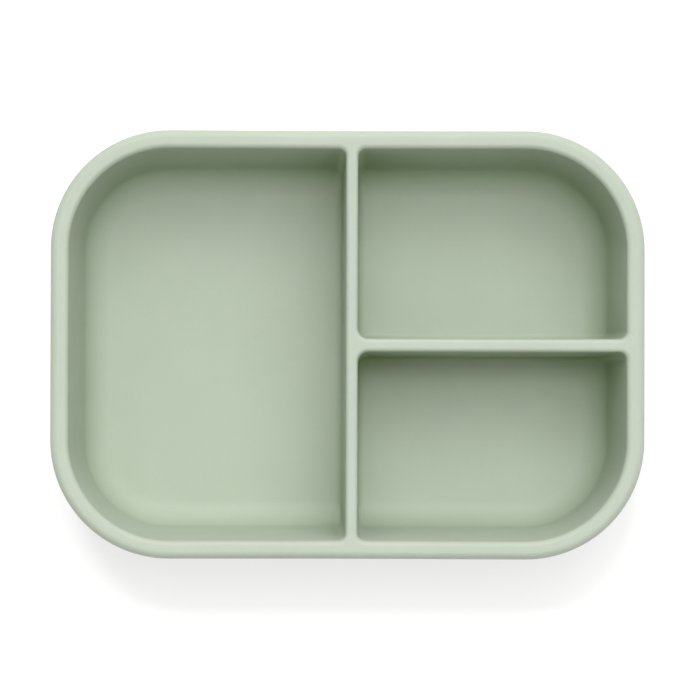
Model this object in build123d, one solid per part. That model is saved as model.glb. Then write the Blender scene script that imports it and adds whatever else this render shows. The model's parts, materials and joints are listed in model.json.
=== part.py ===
from build123d import *
import math
import os

# A divided silicone tub that holds itself to a table with four plug-in suction cups.
# Millimetres. +X is right, +Y is rear, +Z is up. The origin is on the table, under the
# middle of the tub.

# Tub, seen from above
length = 208.0          # left to right, over the rim
width = 150.0           # front to rear, over the rim
corner_radius = 41.5    # outer corner of the rim
rim_width = 6.3         # outermost edge of the rim to the top of the inner wall
long_divider_width = 4.2    # the divider that runs front to rear, over its top
long_divider_x = 1.45       # its middle
short_divider_width = 4.6   # the divider that splits the right half, over its top
short_divider_y = -0.1      # its middle

# Tub, seen from the side
height = 54.0           # table to rim
underside_z = 4.7       # table to the flat underside
floor_thickness = 6.9
inner_draft = 9.6       # degrees, compartment walls
outer_draft = 12.0      # degrees, outside wall
divider_draft = 1.1     # degrees, each face of a divider

# Roundings
rim_radius = 2.5        # outer edge of the rim
mouth_radius = 1.7      # top edges of the compartments
floor_radius = 10.0     # compartment wall to floor
root_radius = 2.7       # divider to floor and divider to wall
junction_radius = 3.7   # upright corner where the two dividers meet
base_radius = 12.0      # outside wall to underside

# Suction cups
cup_radius = 21.0
cup_x = 60.0            # middle of a cup, from the middle of the tub
cup_y = 32.0
lip_width = 1.2         # flat ring that seals on the table
lip_thickness = 0.5
dome_height = 3.0       # hollow under the cup
dome_middle = (0.75, 0.7)     # a point on the cup's outside, as shares of its radius and height
hollow_middle = (0.55, 0.7)   # the same on its inside
shoulder_radius = 9.5
shoulder_gap = 0.1      # cup shoulder to underside
stud_radius = 6.4
stud_length = 4.4
stud_chamfer = 0.6
rib_height = 0.55       # sealing ribs round the stud
rib_places = (0.3, 0.65)  # middle of each rib, as a share of the stud's length
rib_clearance = 0.05    # rib to socket wall, a running fit
socket_end_gap = 0.4    # stud to the end of its socket
socket_chamfer = 0.5
tab_width = 9.0
tab_reach = 9.0         # beyond the lip
tab_overlap = 2.0       # inside the lip
tab_thickness = 1.2
tab_rounding = 0.5
tab_lift = 0.35         # above the table

# Finding edges of the compartments
junction_margin = 1.0   # from a divider's face to the upright edges where the dividers meet
face_margin = 0.3       # from a divider's face to the edges that bound it
rim_margin = 0.01       # an edge within this of the rim plane is on it

floor_z = underside_z + floor_thickness
depth = height - floor_z
shoulder_z = underside_z - shoulder_gap
stud_top_z = shoulder_z + stud_length
socket_radius = stud_radius + rib_height + rib_clearance
socket_top_z = stud_top_z + socket_end_gap


def slope(draft):
    """Sideways travel for each millimetre of height."""
    return math.tan(math.radians(draft))


def rim_overhang(radius, draft):
    """How far the sharp edge of the outside wall would stand out past its rounding."""
    return radius / slope((90 - draft) / 2) - radius


def drafted_block(size_x, size_y, radius, drop, draft):
    """Rounded block that hangs down from the rim plane and narrows by draft."""
    rim_plane = Plane(origin=(0, 0, height), x_dir=(1, 0, 0), z_dir=(0, 0, -1))
    return extrude(rim_plane * RectangleRounded(size_x, size_y, radius), amount=drop, taper=draft)


def round_bottom(block, radius):
    return fillet(block.faces().sort_by(Axis.Z)[0].edges(), radius)


def tub_blank():
    """The tub's outside, still solid inside and sharp along the rim."""
    grow = rim_overhang(rim_radius, outer_draft)
    block = drafted_block(
        length + 2 * grow, width + 2 * grow, corner_radius + grow, height - underside_z, outer_draft
    )
    return round_bottom(block, base_radius)


def open_cavity():
    """The space inside the rim, before the dividers split it."""
    # The mouth rounding ends a little below the rim, where the wall has already moved inwards.
    rounding_drop = mouth_radius * (1 - math.sin(math.radians(inner_draft)))
    inset = rim_width - rounding_drop * slope(inner_draft)
    block = drafted_block(
        length - 2 * inset, width - 2 * inset, corner_radius - inset, depth, inner_draft
    )
    return round_bottom(block, floor_radius)


def divider_wall(middle, top_width, across):
    """Long upright wall, thinner at the top. across is the plane of its cross-section."""
    half_top = top_width / 2
    half_foot = half_top + depth * slope(divider_draft)
    outline = Polyline(
        (middle - half_foot, floor_z),
        (middle + half_foot, floor_z),
        (middle + half_top, height),
        (middle - half_top, height),
        close=True,
    )
    return extrude(across * make_face(outline), amount=length, both=True)


def is_on_divider(distance, top_width, z, margin):
    """True where distance from a divider's middle is no more than its half width at z, plus margin."""
    return distance < top_width / 2 + (height - z) * slope(divider_draft) + margin


def is_junction_edge(edge):
    """True for the upright edge of a compartment where the two dividers meet."""
    x, y, z = edge.center()
    near_long = is_on_divider(abs(x - long_divider_x), long_divider_width, z, junction_margin)
    near_short = is_on_divider(abs(y - short_divider_y), short_divider_width, z, junction_margin)
    return near_long and near_short and edge.length > depth / 2


def is_divider_edge(edge):
    """True for an edge of a compartment on a divider's face, below the rim plane."""
    x, y, z = edge.center()
    on_long = is_on_divider(abs(x - long_divider_x), long_divider_width, z, face_margin)
    on_short = is_on_divider(abs(y - short_divider_y), short_divider_width, z, face_margin)
    return z < height - rim_margin and (on_long or (on_short and x > long_divider_x))


def round_divider_edges(hollow):
    junction = [edge for edge in hollow.edges() if is_junction_edge(edge)]
    if junction:
        hollow = fillet(junction, junction_radius)
    return fillet([edge for edge in hollow.edges() if is_divider_edge(edge)], root_radius)


def compartments():
    """The three hollows as solids: one on the left, two on the right."""
    long_divider = divider_wall(long_divider_x, long_divider_width, Plane.XZ)
    left_of_divider = Pos(long_divider_x - length, 0, 0) * Box(2 * length, 2 * width, 3 * height)
    short_divider = divider_wall(short_divider_y, short_divider_width, Plane.YZ) - left_of_divider
    hollows = open_cavity() - long_divider - short_divider
    return [round_divider_edges(hollow) for hollow in hollows.solids()]


def cup_places():
    """Name and middle of each suction cup."""
    return {
        "rear_left": (-cup_x, cup_y),
        "rear_right": (cup_x, cup_y),
        "front_left": (-cup_x, -cup_y),
        "front_right": (cup_x, -cup_y),
    }


def socket():
    """Blind hole for a cup's stud, with a chamfered mouth in the underside."""
    bore_length = socket_top_z - underside_z
    bore = Pos(0, 0, underside_z + bore_length / 2) * Cylinder(socket_radius, bore_length)
    mouth = Cone(socket_radius + socket_chamfer, socket_radius, socket_chamfer)
    return bore + Pos(0, 0, underside_z + socket_chamfer / 2) * mouth


def compartment_bowl():
    """Tub, rim and dividers in one moulding."""
    tub = tub_blank()
    for hollow in compartments():
        tub -= hollow
    tub = fillet(tub.faces().sort_by(Axis.Z)[-1].outer_wire().edges(), rim_radius)
    tub = fillet(tub.faces().sort_by(Axis.Z)[-1].inner_wires().edges(), mouth_radius)
    for x, y in cup_places().values():
        tub -= Pos(x, y, 0) * socket()
    return tub


def stud_outline():
    """Upright side of the stud from its shoulder to its top, with a half-round bulge for each rib."""
    pieces = []
    last_z = shoulder_z
    for share in rib_places:
        rib_z = shoulder_z + share * stud_length
        below = (stud_radius, rib_z - rib_height)
        above = (stud_radius, rib_z + rib_height)
        pieces.append(Line((stud_radius, last_z), below))
        pieces.append(ThreePointArc(below, (stud_radius + rib_height, rib_z), above))
        last_z = rib_z + rib_height
    pieces.append(Line((stud_radius, last_z), (stud_radius, stud_top_z - stud_chamfer)))
    pieces.append(Line((stud_radius, stud_top_z - stud_chamfer), (stud_radius - stud_chamfer, stud_top_z)))
    return pieces


def turned_cup():
    """Cup and stud, turned round the stud's axis."""
    lip_inner = cup_radius - lip_width
    outer_dome = ThreePointArc(
        (cup_radius, lip_thickness),
        (dome_middle[0] * cup_radius, dome_middle[1] * shoulder_z),
        (shoulder_radius, shoulder_z),
    )
    inner_dome = ThreePointArc(
        (0, dome_height),
        (hollow_middle[0] * cup_radius, hollow_middle[1] * dome_height),
        (lip_inner, 0),
    )
    outline = [
        Line((lip_inner, 0), (cup_radius, 0)),
        Line((cup_radius, 0), (cup_radius, lip_thickness)),
        outer_dome,
        Line((shoulder_radius, shoulder_z), (stud_radius, shoulder_z)),
        *stud_outline(),
        Line((stud_radius - stud_chamfer, stud_top_z), (0, stud_top_z)),
        Line((0, stud_top_z), (0, dome_height)),
        inner_dome,
    ]
    return revolve(Plane.XZ * make_face(Wire(outline)), Axis.Z)


def release_tab():
    """Flat tongue on the lip, pointing along +X, that a finger lifts to let air in."""
    root = cup_radius - tab_overlap
    round_end = cup_radius + tab_reach - tab_width / 2
    tongue = Pos((root + round_end) / 2, 0) * Rectangle(round_end - root, tab_width)
    tongue += Pos(round_end, 0) * Circle(tab_width / 2)
    tab = extrude(Plane.XY.offset(tab_lift) * tongue, amount=tab_thickness)
    return fillet(tab.edges().filter_by(Plane.XY), tab_rounding)


def suction_cup(x, y):
    """One cup, with its tab pointing outwards to the tub's nearest corner."""
    outwards = math.degrees(math.atan2(math.copysign(1, y), math.copysign(1, x)))
    return Pos(x, y, 0) * Rot(0, 0, outwards) * (turned_cup() + release_tab())


os.makedirs("parts", exist_ok=True)
export_step(compartment_bowl(), "parts/compartment_bowl.step")
for place, (x, y) in cup_places().items():
    export_step(suction_cup(x, y), f"parts/suction_cup_{place}.step")
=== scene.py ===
import json
import math

import bmesh
import bpy
import numpy as np
from mathutils import Matrix, Vector
from mathutils.geometry import delaunay_2d_cdt

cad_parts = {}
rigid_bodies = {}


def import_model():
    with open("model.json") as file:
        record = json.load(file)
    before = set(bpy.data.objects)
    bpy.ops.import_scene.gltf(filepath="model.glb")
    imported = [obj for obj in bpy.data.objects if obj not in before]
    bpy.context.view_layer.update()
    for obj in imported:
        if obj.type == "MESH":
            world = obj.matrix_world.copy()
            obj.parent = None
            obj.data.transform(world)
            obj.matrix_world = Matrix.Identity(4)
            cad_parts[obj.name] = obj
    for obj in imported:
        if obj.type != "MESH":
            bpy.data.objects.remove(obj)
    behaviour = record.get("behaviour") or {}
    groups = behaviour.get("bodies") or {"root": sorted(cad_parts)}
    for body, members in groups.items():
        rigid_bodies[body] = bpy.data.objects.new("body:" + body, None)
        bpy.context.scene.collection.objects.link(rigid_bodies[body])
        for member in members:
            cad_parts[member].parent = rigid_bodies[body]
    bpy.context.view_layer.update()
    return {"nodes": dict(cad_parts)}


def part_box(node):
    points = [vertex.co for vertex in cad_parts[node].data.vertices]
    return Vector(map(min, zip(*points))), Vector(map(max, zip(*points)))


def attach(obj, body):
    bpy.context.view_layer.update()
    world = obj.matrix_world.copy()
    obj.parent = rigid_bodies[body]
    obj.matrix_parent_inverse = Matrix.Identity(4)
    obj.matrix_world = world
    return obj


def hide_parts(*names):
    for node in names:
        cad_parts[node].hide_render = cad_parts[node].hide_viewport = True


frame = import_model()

# A divided silicone tub on four suction cups, on a white studio floor. Metres, in the CAD frame.
MM = 0.001

# Tub: its outer sizes come from the frame, and its walls are named here
tub_low, tub_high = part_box("compartment_bowl")
half_length = (tub_high.x - tub_low.x) / 2
half_width = (tub_high.y - tub_low.y) / 2
rim_z = tub_high.z
underside_z = tub_low.z
floor_thickness = 6.9 * MM
floor_z = underside_z + floor_thickness
corner_radius = 41.5 * MM
rim_width = 6.3 * MM
long_divider_half = 2.1 * MM      # half its width at the top
short_divider_half = 2.3 * MM
long_divider_x = 1.45 * MM
short_divider_y = -0.1 * MM
outer_draft = math.radians(12.0)
wall_draft = math.radians(9.6)
divider_draft = math.radians(1.1)

# Roundings of the tub
rim_radius = 2.5 * MM
mouth_radius = 2.0 * MM          # rim to compartment wall
divider_top_radius = 1.4 * MM
floor_radius = 10.0 * MM
root_radius = 2.7 * MM           # divider to floor and divider to wall
junction_radius = 3.7 * MM       # upright corner where the dividers meet
base_radius = 12.0 * MM
sharpest_radius = 0.4 * MM

# Parting line of the mould, a fine ridge round the widest part of the rim
parting_width = 0.25 * MM        # half its width at the foot
parting_height = 0.06 * MM

# A soft moulding isn't dead straight: its long sides draw in and its flats wave a little
side_bow = 0.12 * MM
bow_reach = 68.0 * MM            # from the middle of a long side to where its bow ends
wave_height = 0.04 * MM
wave_length = 70.0 * MM
cross_wave = 0.8                 # waves across, for each wave along
wave_fade = 1.0 * MM             # the wave fades out over this much height below the floor

# Suction cups
cup_radius = 21.0 * MM
lip_width = 1.2 * MM
lip_thickness = 0.5 * MM
lip_rounding = 0.2 * MM
dome_height = 3.0 * MM
dome_middle = (0.75, 0.7)        # a point on the cup's outside, as shares of its radius and height
hollow_middle = (0.55, 0.7)      # the same on its inside
hollow_flat_radius = 0.2 * MM    # small flat in the middle of the hollow, where the mesh closes
shoulder_radius = 9.5 * MM
shoulder_gap = 0.1 * MM
shoulder_z = underside_z - shoulder_gap
stud_radius = 6.4 * MM
stud_length = 4.4 * MM
stud_chamfer = 0.6 * MM
stud_top_z = shoulder_z + stud_length
rib_height = 0.55 * MM
rib_places = (0.3, 0.65)         # as shares of the stud's length
rib_clearance = 0.05 * MM
socket_end_gap = 0.4 * MM
socket_radius = stud_radius + rib_height + rib_clearance
socket_top_z = stud_top_z + socket_end_gap
socket_chamfer = 0.5 * MM
tab_width = 9.0 * MM
tab_reach = 9.0 * MM
tab_overlap = 2.0 * MM
tab_thickness = 1.2 * MM
tab_rounding = 0.5 * MM
tab_lift = 0.35 * MM

# Mesh density
side_spacing = 2.5 * MM
flat_spacing = 9.0 * MM
corner_steps = 32
small_corner_steps = 8
rounding_steps = 8
wall_steps = 14
turn_steps = 144
dome_steps = 20
hollow_steps = 24
edge_steps = 4
tab_end_steps = 24
tab_edge_steps = 5
ridge_steps = 2
closest_levels = 0.02 * MM       # rings of a compartment lie no closer than this
same_point = 1e-9                # points closer than this are one when a flat is filled
flat_weight = 80                 # how strongly big flats win in the smooth shading
crease_angle = math.radians(35)

# Looks: how far down the rim's painted sheen reaches, the sizes of the silicone's blemishes, and how far
# each changes the surface
painted_sheen_depth = 9.0 * MM           # below the rim, where the colour turns paler and greyer: painted sheen
cloud_size = 45 * MM
cloud_change = 0.015
speck_size = 1.2 * MM
speck_change = 0.008
shine_size = 12 * MM
shine_change = 0.04
ripple_size = 9 * MM
ripple_depth = 0.02 * MM
grain_size = 0.35 * MM
silicone_ior = 1.41
silicone_reach = 2.0 * MM        # how far light travels inside

# Looks: the floor, the backdrop and the tones
floor_glow = 0.74
floor_white = 0.20
floor_patch_size = 400 * MM
floor_change = 0.01
backdrop_white = 1.3
black_levels = (0.08, 0.08, 0.09)  # red, green, blue


def is_inside(points, sides):
    """True for each point with an odd number of the sides to its right."""
    x, y = points[:, :1], points[:, 1:]
    x1, y1, x2, y2 = sides.reshape(-1, 4).T
    spans = (y1 > y) != (y2 > y)
    rise = np.where(y2 == y1, 1.0, y2 - y1)
    return (spans & (x < x1 + (y - y1) * (x2 - x1) / rise)).sum(axis=1) % 2 == 1


def grid_inside(sides, spacing):
    """Staggered grid of points inside the sides and clear of them."""
    corners = sides[:, 0]
    low, high = corners.min(0), corners.max(0)
    columns, rows = ((high - low) / spacing).astype(int)
    points = np.array([
        (low[0] + (column + 0.5 * (row % 2)) * spacing, low[1] + row * spacing)
        for row in range(rows + 1)
        for column in range(columns + 1)
    ])
    gaps = np.linalg.norm(points[:, None] - corners[None], axis=2).min(axis=1)
    return points[is_inside(points, sides) & (gaps > spacing / 2)]


class Shell:
    """Points and faces of one closed surface, made ring by ring."""

    def __init__(self):
        self.points = []
        self.faces = []

    def ring(self, outline, z):
        first = len(self.points)
        self.points += [(x, y, z) for x, y in outline]
        return list(range(first, len(self.points)))

    def rings(self, outlines):
        """Adds a ring for each (outline, z), joins neighbours with quads, and returns the end rings."""
        made = [self.ring(outline, z) for outline, z in outlines]
        for one, two in zip(made, made[1:]):
            for i in range(len(one)):
                j = (i + 1) % len(one)
                self.faces.append((one[i], one[j], two[j], two[i]))
        return made[0], made[-1]

    def fill(self, outer, holes=(), spacing=None):
        """Closes the flat between a ring and the rings inside it with triangles."""
        loops = [outer, *holes]
        numbers = [number for loop in loops for number in loop]
        flat = [Vector(self.points[number][:2]) for number in numbers]
        edges = []
        for loop in loops:
            first = len(edges)
            edges += [(first + i, first + (i + 1) % len(loop)) for i in range(len(loop))]
        sides = np.array([(flat[a], flat[b]) for a, b in edges])
        if spacing:
            extra = grid_inside(sides, spacing).tolist()
            numbers += self.ring(extra, self.points[outer[0]][2])
            flat += [Vector(point) for point in extra]
        _, _, triangles, _, _, _ = delaunay_2d_cdt(flat, edges, [], 0, same_point)
        centres = np.array([np.mean([flat[v] for v in triangle], axis=0) for triangle in triangles])
        for triangle, inside in zip(triangles, is_inside(centres, sides)):
            if inside:
                self.faces.append(tuple(numbers[v] for v in triangle))

    def build(self, name, reshape=None):
        """Makes the Blender object. reshape moves all the points at once."""
        points = np.array(self.points)
        if reshape:
            points = reshape(points)
        mesh = bpy.data.meshes.new(name)
        mesh.from_pydata(points.tolist(), [], self.faces)
        outward = bmesh.new()
        outward.from_mesh(mesh)
        bmesh.ops.recalc_face_normals(outward, faces=outward.faces)
        outward.to_mesh(mesh)
        outward.free()
        piece = bpy.data.objects.new(name, mesh)
        bpy.context.scene.collection.objects.link(piece)
        return piece


def smooth(piece):
    """Smooth shading that keeps flats flat and real creases sharp."""
    piece.data.shade_smooth()
    piece.data.set_sharp_from_angle(angle=crease_angle)
    flats = piece.modifiers.new("flat_faces", "WEIGHTED_NORMAL")
    flats.keep_sharp = True
    flats.weight = flat_weight


def arc(centre, radius, start, end, steps):
    """(across, up) points on an arc from start to end, in radians from the across axis."""
    angles = np.linspace(start, end, steps + 1)
    return [(centre[0] + radius * math.cos(a), centre[1] + radius * math.sin(a)) for a in angles]


def outline(low, high, radii, arc_steps, side_steps):
    """Anticlockwise rectangle with its own radius at each corner, from the front right one."""
    signs = [(1, -1), (1, 1), (-1, 1), (-1, -1)]
    arcs = []
    for n, (radius, (right, rear)) in enumerate(zip(radii, signs)):
        centre = (
            high[0] - radius if right > 0 else low[0] + radius,
            high[1] - radius if rear > 0 else low[1] + radius,
        )
        start = math.radians(90 * n - 90)
        arcs.append(arc(centre, radius, start, start + math.pi / 2, arc_steps[n]))
    points = []
    for n in range(4):
        points += arcs[n]
        here, there = np.array(arcs[n][-1]), np.array(arcs[(n + 1) % 4][0])
        shares = np.linspace(0, 1, side_steps[n] + 1)[1:-1]
        points += [tuple(here + (there - here) * share) for share in shares]
    return points


def side_counts(low, high, radii):
    """How many steps each side takes, for the sides that follow the four corners."""
    runs = [
        high[1] - low[1] - radii[0] - radii[1],
        high[0] - low[0] - radii[1] - radii[2],
        high[1] - low[1] - radii[2] - radii[3],
        high[0] - low[0] - radii[3] - radii[0],
    ]
    return [max(2, round(run / side_spacing)) for run in runs]


# ---- tub ----

def rim_offset_outline(inset):
    """The rim's outer edge, moved inwards."""
    high = (half_length - inset, half_width - inset)
    low = (-high[0], -high[1])
    radii = [corner_radius - inset] * 4
    counts = side_counts((-half_length, -half_width), (half_length, half_width), [corner_radius] * 4)
    return outline(low, high, radii, [corner_steps] * 4, counts)


def outside_profile():
    """(inset, z) points from the rim's flat, over its edge and down to the underside's flat."""
    rim_centre = (rim_radius, rim_z - rim_radius)
    upper_end = math.pi - parting_width / rim_radius
    lower_start = math.pi + parting_width / rim_radius
    rim_edge = arc(rim_centre, rim_radius, math.pi / 2, upper_end, rounding_steps)
    ridge_start = (upper_end + math.pi) / 2
    ridge_end = (lower_start + math.pi) / 2
    ridge = arc(rim_centre, rim_radius + parting_height, ridge_start, ridge_end, ridge_steps)
    rim_foot = arc(rim_centre, rim_radius, lower_start, math.pi + outer_draft, ridge_steps)
    tangent_inset, tangent_z = rim_foot[-1]
    foot_z = underside_z + base_radius * (1 - math.sin(outer_draft))
    foot_inset = tangent_inset + (tangent_z - foot_z) * math.tan(outer_draft)
    base_centre = (foot_inset + base_radius * math.cos(outer_draft), underside_z + base_radius)
    base = arc(base_centre, base_radius, math.pi + outer_draft, 1.5 * math.pi, rounding_steps + 4)
    shares = np.linspace(0, 1, wall_steps + 1)[1:-1]
    wall = [
        (tangent_inset + (foot_inset - tangent_inset) * share, tangent_z + (foot_z - tangent_z) * share)
        for share in shares
    ]
    return rim_edge + ridge + rim_foot + wall + base


def straight_face(z, start, draft, top_radius):
    """Distance of a drafted face from its reference at height z, as if it had no roundings."""
    top_z = rim_z - top_radius * (1 - math.sin(draft))
    return start + (top_z - z) * math.tan(draft)


def rounded_face(z, start, draft, top_radius, foot_radius):
    """The same, rounded over at the rim and into the floor."""
    top_z = rim_z - top_radius * (1 - math.sin(draft))
    foot_z = floor_z + foot_radius * (1 - math.sin(draft))
    if z > top_z:
        rise = min(1, (z - rim_z) / top_radius + 1)
        return start + top_radius * (math.sqrt(1 - rise**2) - math.cos(draft))
    if z < foot_z:
        drop = min(1, (floor_z - z) / foot_radius + 1)
        foot = straight_face(foot_z, start, draft, top_radius)
        return foot + foot_radius * (math.cos(draft) - math.sqrt(1 - drop**2))
    return straight_face(z, start, draft, top_radius)


def wall_at(z):
    """Inner wall's distance from the rim's outer edge."""
    return rounded_face(z, rim_width, wall_draft, mouth_radius, floor_radius)


def divider_at(z, half_width):
    """A divider face's distance from the divider's middle."""
    return rounded_face(z, half_width, divider_draft, divider_top_radius, root_radius)


def compartment_levels():
    """Heights of a compartment's rings, from the rim down to the floor, close together at roundings."""
    heights = set()
    for draft, radius in ((wall_draft, mouth_radius), (divider_draft, divider_top_radius)):
        angles = np.linspace(draft, math.pi / 2, rounding_steps)
        heights |= {rim_z - radius * (1 - math.sin(a)) for a in angles}
    for draft, radius in ((wall_draft, floor_radius), (divider_draft, root_radius)):
        angles = np.linspace(draft, math.pi / 2, 2 * rounding_steps)
        heights |= {floor_z + radius * (1 - math.sin(a)) for a in angles}
    heights |= set(np.linspace(rim_z - mouth_radius, floor_z + floor_radius, wall_steps))
    levels = sorted(heights, reverse=True)
    kept = [levels[0]]
    for z in levels[1:-1]:
        if kept[-1] - z > closest_levels and z - levels[-1] > closest_levels:
            kept.append(z)
    return kept + [levels[-1]]


def compartment_outline(z, left, right, front, rear):
    """One compartment at height z. Each side is "wall" or "divider"."""
    def long_side(side, inwards):
        if side == "wall":
            return inwards * (wall_at(z) - half_length)
        return long_divider_x + inwards * divider_at(z, long_divider_half)

    def short_side(side, inwards):
        if side == "wall":
            return inwards * (wall_at(z) - half_width)
        return short_divider_y + inwards * divider_at(z, short_divider_half)

    def corner(one, two):
        if one == two == "wall":
            return corner_radius - wall_at(z)
        widened = divider_at(z, 0) - straight_face(z, 0, divider_draft, divider_top_radius)
        radius = junction_radius if one == two else root_radius
        return max(sharpest_radius, radius - widened)

    low = (long_side(left, 1), short_side(front, 1))
    high = (long_side(right, -1), short_side(rear, -1))
    pairs = [(front, right), (right, rear), (rear, left), (left, front)]
    radii = [corner(*pair) for pair in pairs]
    steps = [corner_steps if pair == ("wall", "wall") else small_corner_steps for pair in pairs]
    return low, high, radii, steps


def compartment_rings(**sides):
    counts = side_counts(*compartment_outline(rim_z, **sides)[:3])
    for z in compartment_levels():
        low, high, radii, steps = compartment_outline(z, **sides)
        yield outline(low, high, radii, steps, counts), z


def circle(centre, radius):
    return [(centre[0] + x, centre[1] + y) for x, y in arc((0, 0), radius, 0, math.tau, turn_steps)[:-1]]


def socket_rings(centre):
    """Blind hole for a stud, from its mouth in the underside upwards."""
    profile = [
        (socket_radius + socket_chamfer, underside_z),
        (socket_radius, underside_z + socket_chamfer),
        (socket_radius, socket_top_z),
    ]
    return [(circle(centre, radius), z) for radius, z in profile]


def relaxed(points):
    """Draws the long sides in towards the middle and adds a slow wave, never outwards."""
    x, y, z = points.T
    height = (z - underside_z) / (rim_z - underside_z)
    along = np.clip(np.abs(x) / bow_reach, 0, 1)
    bow = side_bow * height * np.cos(along * math.pi / 2) ** 2 * y / half_width
    turns = math.tau / wave_length
    wave = wave_height * (np.sin(x * turns) * np.cos(cross_wave * y * turns) - 1) / 2
    upper = np.clip((z - floor_z + wave_fade) / wave_fade, 0, 1)
    return np.stack([x, y - bow, z + wave * upper], axis=1)


def make_bowl(cup_centres):
    shell = Shell()
    rim, foot = shell.rings([(rim_offset_outline(inset), z) for inset, z in outside_profile()])
    mouths = []
    for sides in (
        {"left": "wall", "right": "divider", "front": "wall", "rear": "wall"},
        {"left": "divider", "right": "wall", "front": "divider", "rear": "wall"},
        {"left": "divider", "right": "wall", "front": "wall", "rear": "divider"},
    ):
        mouth, bottom = shell.rings(compartment_rings(**sides))
        shell.fill(bottom, spacing=flat_spacing)
        mouths.append(mouth)
    shell.fill(rim, mouths)
    sockets = []
    for centre in cup_centres:
        mouth, end = shell.rings(socket_rings(centre))
        shell.fill(end)
        sockets.append(mouth)
    shell.fill(foot, sockets, spacing=flat_spacing)
    bowl = shell.build("silicone_bowl", relaxed)
    smooth(bowl)
    return bowl


# ---- suction cups ----

def cup_centre(node):
    """Middle of a cup: its box, less the tab that sticks out on the side away from the tub's middle."""
    low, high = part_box(node)
    x = high.x - cup_radius if high.x + low.x < 0 else low.x + cup_radius
    y = high.y - cup_radius if high.y + low.y < 0 else low.y + cup_radius
    return x, y


def arc_through(start, middle, end, steps):
    """(across, up) points on the circle through three points."""
    a, b, c = (complex(*point) for point in (start, middle, end))
    ratio = (c - a) / (b - a)
    centre = a + (b - a) * (ratio - abs(ratio) ** 2) / (2j * ratio.imag)
    radius = abs(a - centre)
    first, last = (math.atan2((p - centre).imag, (p - centre).real) for p in (a, c))
    return arc((centre.real, centre.imag), radius, first, last, steps)


def cup_profile():
    """(radius, z) points from under the middle of the dome, round the lip and up to the stud's top."""
    lip_inner = cup_radius - lip_width
    inside_middle = (hollow_middle[0] * cup_radius, hollow_middle[1] * dome_height)
    outside_middle = (dome_middle[0] * cup_radius, dome_middle[1] * shoulder_z)
    inside = arc_through((0, dome_height), inside_middle, (lip_inner, 0), hollow_steps)
    lip = arc((cup_radius - lip_rounding, lip_rounding), lip_rounding, -math.pi / 2, 0, edge_steps)
    outside = arc_through(
        (cup_radius, lip_thickness), outside_middle, (shoulder_radius, shoulder_z), dome_steps
    )
    stud = []
    for share in rib_places:
        middle = (stud_radius, shoulder_z + share * stud_length)
        stud += arc(middle, rib_height, -math.pi / 2, math.pi / 2, rounding_steps)
    top = [(stud_radius, stud_top_z - stud_chamfer), (stud_radius - stud_chamfer, stud_top_z)]
    inside[0] = (hollow_flat_radius, dome_height)
    return inside + lip + outside + [(stud_radius, shoulder_z)] + stud + top


def cup_body(centre):
    shell = Shell()
    first, last = shell.rings([(circle(centre, radius), z) for radius, z in cup_profile()])
    shell.fill(first)
    shell.fill(last)
    return shell.build("cup_body")


def cup_tab(centre):
    """Release tab, a rounded tongue from inside the lip towards the tub's nearest corner."""
    shell = Shell()
    root = cup_radius - tab_overlap
    end = cup_radius + tab_reach - tab_width / 2
    outwards = math.atan2(math.copysign(1, centre[1]), math.copysign(1, centre[0]))
    edge = arc((tab_rounding, 0), tab_rounding, math.pi, math.pi / 2, tab_edge_steps)
    profile = [(inset, tab_rounding - up) for inset, up in reversed(edge)]
    profile += [(inset, tab_thickness - tab_rounding + up) for inset, up in edge]
    outlines = []
    for inset, up in profile:
        tip = arc((end, 0), tab_width / 2 - inset, -math.pi / 2, math.pi / 2, tab_end_steps)
        tongue = [(root + inset, -tab_width / 2 + inset), *tip, (root + inset, tab_width / 2 - inset)]
        turned = [
            (
                centre[0] + x * math.cos(outwards) - y * math.sin(outwards),
                centre[1] + x * math.sin(outwards) + y * math.cos(outwards),
            )
            for x, y in tongue
        ]
        outlines.append((turned, tab_lift + up))
    bottom, top = shell.rings(outlines)
    shell.fill(bottom)
    shell.fill(top)
    return shell.build("cup_tab")


def make_cup(node):
    """Cup, stud and tab, joined into one closed piece."""
    centre = cup_centre(node)
    cup = cup_body(centre)
    tab = cup_tab(centre)
    join = cup.modifiers.new("join", "BOOLEAN")
    join.operation = "UNION"
    join.object = tab
    evaluated = cup.evaluated_get(bpy.context.evaluated_depsgraph_get())
    mesh = bpy.data.meshes.new_from_object(evaluated)
    cup.modifiers.clear()
    cup.data = mesh
    cup.name = node.replace("suction_cup", "soft_cup")
    bpy.data.objects.remove(tab)
    smooth(cup)
    return cup


# ---- materials ----

def node(tree, kind, **settings):
    made = tree.nodes.new(kind)
    for key, value in settings.items():
        setattr(made, key, value)
    return made


def noise(tree, coordinates, size, detail=2.0):
    """Noise whose blobs measure about size, in metres."""
    made = node(tree, "ShaderNodeTexNoise")
    made.inputs["Scale"].default_value = 1 / size
    made.inputs["Detail"].default_value = detail
    tree.links.new(coordinates, made.inputs["Vector"])
    return made.outputs["Fac"]


def ramp(tree, value, low, high):
    """Maps noise, which stays near 0.5, onto low to high."""
    made = node(tree, "ShaderNodeMapRange")
    made.inputs["From Min"].default_value = 0.3
    made.inputs["From Max"].default_value = 0.7
    made.inputs["To Min"].default_value = low
    made.inputs["To Max"].default_value = high
    tree.links.new(value, made.inputs["Value"])
    return made.outputs["Result"]


def bump(tree, height, depth, under=None):
    made = node(tree, "ShaderNodeBump")
    made.inputs["Strength"].default_value = 1.0
    made.inputs["Distance"].default_value = depth
    tree.links.new(height, made.inputs["Height"])
    if under:
        tree.links.new(under, made.inputs["Normal"])
    return made.outputs["Normal"]


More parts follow.
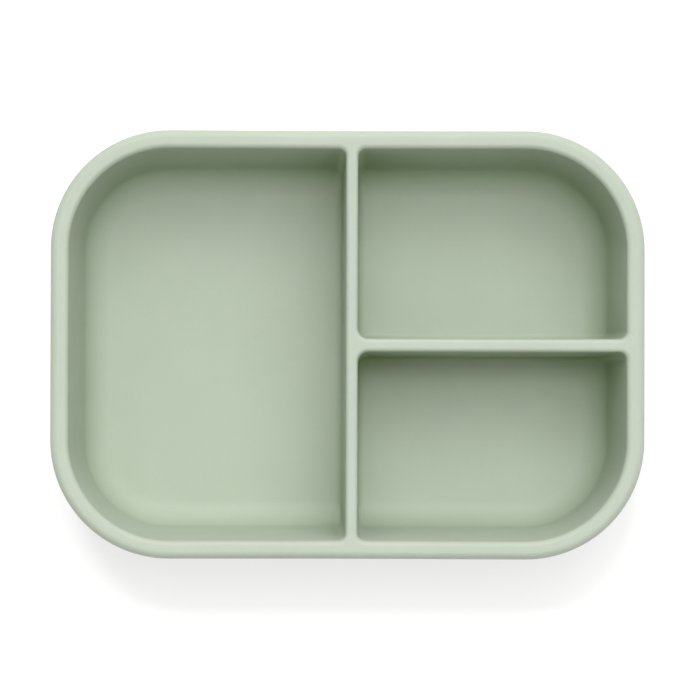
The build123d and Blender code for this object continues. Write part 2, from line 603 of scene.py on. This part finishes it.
def silicone(name, colour, painted_sheen_colour, roughness, grain_depth, glow):
    """Moulded silicone: soft, a little translucent, with a fine mould grain. Its colour turns paler and
    greyer up at the rim, a painted sheen.
    """
    material = bpy.data.materials.new(name)
    material.use_nodes = True
    tree = material.node_tree
    surface = tree.nodes["Principled BSDF"]
    coordinates = node(tree, "ShaderNodeTexCoord").outputs["Object"]

    # Painted sheen: the colour blends towards a paler, greyer one over the top of the tub, up to the
    # rim, as if the rim caught white sheen
    painted_sheen = node(tree, "ShaderNodeMapRange", interpolation_type="SMOOTHSTEP")
    painted_sheen.inputs["From Min"].default_value = rim_z - painted_sheen_depth
    painted_sheen.inputs["From Max"].default_value = rim_z
    height = node(tree, "ShaderNodeSeparateXYZ")
    tree.links.new(coordinates, height.inputs["Vector"])
    tree.links.new(height.outputs["Z"], painted_sheen.inputs["Value"])
    body = node(tree, "ShaderNodeMix", data_type="RGBA")
    body.inputs["A"].default_value = (*colour, 1)
    body.inputs["B"].default_value = (*painted_sheen_colour, 1)
    tree.links.new(painted_sheen.outputs["Result"], body.inputs["Factor"])
    cloud = ramp(tree, noise(tree, coordinates, cloud_size), 1 - cloud_change, 1 + cloud_change)
    speck = ramp(tree, noise(tree, coordinates, speck_size, 4.0), 1 - speck_change, 1 + speck_change)
    both = node(tree, "ShaderNodeMath", operation="MULTIPLY")
    tree.links.new(cloud, both.inputs[0])
    tree.links.new(speck, both.inputs[1])
    tint = node(tree, "ShaderNodeVectorMath", operation="SCALE")
    tree.links.new(body.outputs["Result"], tint.inputs[0])
    tree.links.new(both.outputs[0], tint.inputs["Scale"])
    tree.links.new(tint.outputs[0], surface.inputs["Base Color"])

    uneven = noise(tree, coordinates, shine_size, 3.0)
    shine = ramp(tree, uneven, roughness - shine_change, roughness + shine_change)
    tree.links.new(shine, surface.inputs["Roughness"])
    ripple = bump(tree, noise(tree, coordinates, ripple_size, 1.0), ripple_depth)
    grain = bump(tree, noise(tree, coordinates, grain_size, 3.0), grain_depth, ripple)
    tree.links.new(grain, surface.inputs["Normal"])

    surface.inputs["IOR"].default_value = silicone_ior
    surface.inputs["Subsurface Weight"].default_value = glow
    surface.inputs["Subsurface Radius"].default_value = (1.0, 0.95, 0.7)
    surface.inputs["Subsurface Scale"].default_value = silicone_reach
    surface.inputs["Sheen Weight"].default_value = 0.05
    surface.inputs["Sheen Roughness"].default_value = 0.6
    return material


def floor_paint():
    material = bpy.data.materials.new("white_floor")
    material.use_nodes = True
    tree = material.node_tree
    surface = tree.nodes["Principled BSDF"]
    coordinates = node(tree, "ShaderNodeTexCoord").outputs["Object"]
    patches = noise(tree, coordinates, floor_patch_size)
    shade = ramp(tree, patches, floor_white - floor_change, floor_white + floor_change)
    tree.links.new(shade, surface.inputs["Base Color"])
    surface.inputs["Roughness"].default_value = 0.9
    surface.inputs["Specular IOR Level"].default_value = 0.2
    surface.inputs["Emission Color"].default_value = (1, 1, 1, 1)
    surface.inputs["Emission Strength"].default_value = floor_glow
    return material


# ---- studio ----

def make_floor():
    """White light table under the cups. It goes down with the lowest cup when one is pulled out."""
    size = 8.0
    mesh = bpy.data.meshes.new("studio_floor")
    corners = [(-size, -size, 0), (size, -size, 0), (size, size, 0), (-size, size, 0)]
    mesh.from_pydata(corners, [], [(0, 1, 2, 3)])
    floor = bpy.data.objects.new("studio_floor", mesh)
    bpy.context.scene.collection.objects.link(floor)
    mesh.materials.append(floor_paint())
    follow = floor.driver_add("location", 2).driver
    letters = "abcdefgh"[:len(cup_nodes)]
    for letter, name in zip(letters, cup_nodes):
        drop = follow.variables.new()
        drop.name = letter
        drop.type = "TRANSFORMS"
        drop.targets[0].id = bpy.data.objects["body:" + name.replace("suction_cup", "cup")]
        drop.targets[0].transform_type = "LOC_Z"
    follow.expression = f"min(0, {', '.join(letters)})"
    return floor


def make_sun(name, azimuth, elevation, spread, strength, only=None):
    """Soft light from far away. Azimuth is clockwise from the rear, spread is how wide it looks.

    With only, it lights that object alone, though everything still casts a shadow on it.
    """
    light = bpy.data.lights.new(name, "SUN")
    light.angle = math.radians(spread)
    light.energy = strength
    sun = bpy.data.objects.new(name, light)
    if only:
        lit = bpy.data.collections.new(name + "_lights")
        lit.objects.link(only)
        sun.light_linking.receiver_collection = lit
    a, e = math.radians(azimuth), math.radians(elevation)
    towards = Vector((math.sin(a) * math.cos(e), math.cos(a) * math.cos(e), math.sin(e)))
    sun.rotation_euler = towards.to_track_quat("Z", "Y").to_euler()
    bpy.context.scene.collection.objects.link(sun)


def make_camera():
    """Long lens, almost straight above, leaning a little to the left and to the front."""
    distance = 5.0
    tub_share = 0.8487          # of the picture's width
    frame_width = 2 * half_length / tub_share
    lean_left = math.radians(0.97)
    lean_front = math.radians(1.8)
    roll = math.radians(0.13)
    data = bpy.data.cameras.new("camera")
    data.lens = data.sensor_width * distance / frame_width
    data.clip_end = 20 * distance
    camera = bpy.data.objects.new("camera", data)
    aim_right = 0.8 * MM
    aim_rear = -1.9 * MM
    aim = Vector((aim_right, aim_rear, rim_z))
    back = Vector((-math.tan(lean_left), -math.tan(lean_front), 1)).normalized()
    right = Vector((0, 1, 0)).cross(back).normalized()
    turn = Matrix((right, back.cross(right), back)).transposed()
    turn = turn.to_4x4() @ Matrix.Rotation(roll, 4, "Z")
    camera.matrix_world = Matrix.Translation(aim + back * distance) @ turn
    bpy.context.scene.collection.objects.link(camera)
    bpy.context.scene.camera = camera


def set_world(strength):
    """Even light from all round, and a plain white backdrop where the camera looks past the floor."""
    world = bpy.data.worlds.new("studio")
    world.use_nodes = True
    tree = world.node_tree
    light = tree.nodes["Background"]
    light.inputs["Color"].default_value = (1, 1, 1, 1)
    light.inputs["Strength"].default_value = strength
    backdrop = node(tree, "ShaderNodeBackground")
    backdrop.inputs["Strength"].default_value = backdrop_white
    seen = node(tree, "ShaderNodeMixShader")
    tree.links.new(node(tree, "ShaderNodeLightPath").outputs["Is Camera Ray"], seen.inputs["Fac"])
    tree.links.new(light.outputs[0], seen.inputs[1])
    tree.links.new(backdrop.outputs[0], seen.inputs[2])
    tree.links.new(seen.outputs[0], tree.nodes["World Output"].inputs["Surface"])
    bpy.context.scene.world = world


def set_tones():
    """Plain display colours, with the faint haze of the white surroundings taken out of the darks."""
    settings = bpy.context.scene.view_settings
    settings.view_transform = "Standard"
    settings.use_curve_mapping = True
    settings.curve_mapping.black_level = black_levels
    settings.curve_mapping.white_level = [1 + level for level in black_levels]
    settings.curve_mapping.update()


sage = (0.336, 0.382, 0.316)
# The tub's colour at the rim, paler and greyer than its body: painted sheen
painted_sheen_sage = (0.346, 0.384, 0.329)
bowl_silicone = silicone("sage_silicone", sage, painted_sheen_sage, 0.55, 0.006 * MM, 0.2)
# The cups' sage is lighter than the tub's. It is partly a lighter silicone and partly painted light,
# raised so that the cups still read in the shade under the tub.
shade_lifted_cup_sage = (0.44, 0.49, 0.40)
cup_silicone = silicone("smooth_sage_silicone", shade_lifted_cup_sage, shade_lifted_cup_sage, 0.35, 0.002 * MM, 0.3)

cup_nodes = sorted(name for name in frame["nodes"] if name.startswith("suction_cup"))
bowl = make_bowl([cup_centre(name) for name in cup_nodes])
bowl.data.materials.append(bowl_silicone)
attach(bowl, "bowl")
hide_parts("compartment_bowl")

for name in cup_nodes:
    cup = make_cup(name)
    cup.data.materials.clear()
    cup.data.materials.append(cup_silicone)
    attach(cup, name.replace("suction_cup", "cup"))
    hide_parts(name)

floor = make_floor()
make_sun("rear_low", 0, 35, 50, 1.1)
make_sun("rear_high", 0, 60, 40, 0.9)
make_sun("rear_right", 45, 65, 50, 1.0)
make_sun("overhead", 0, 83, 16, 0.85)
make_sun("floor_lamp_left", -26, 67, 9, 1.7, only=floor)
make_sun("floor_lamp_middle", 0, 69, 9, 1.7, only=floor)
make_camera()
set_world(0.85)
set_tones()
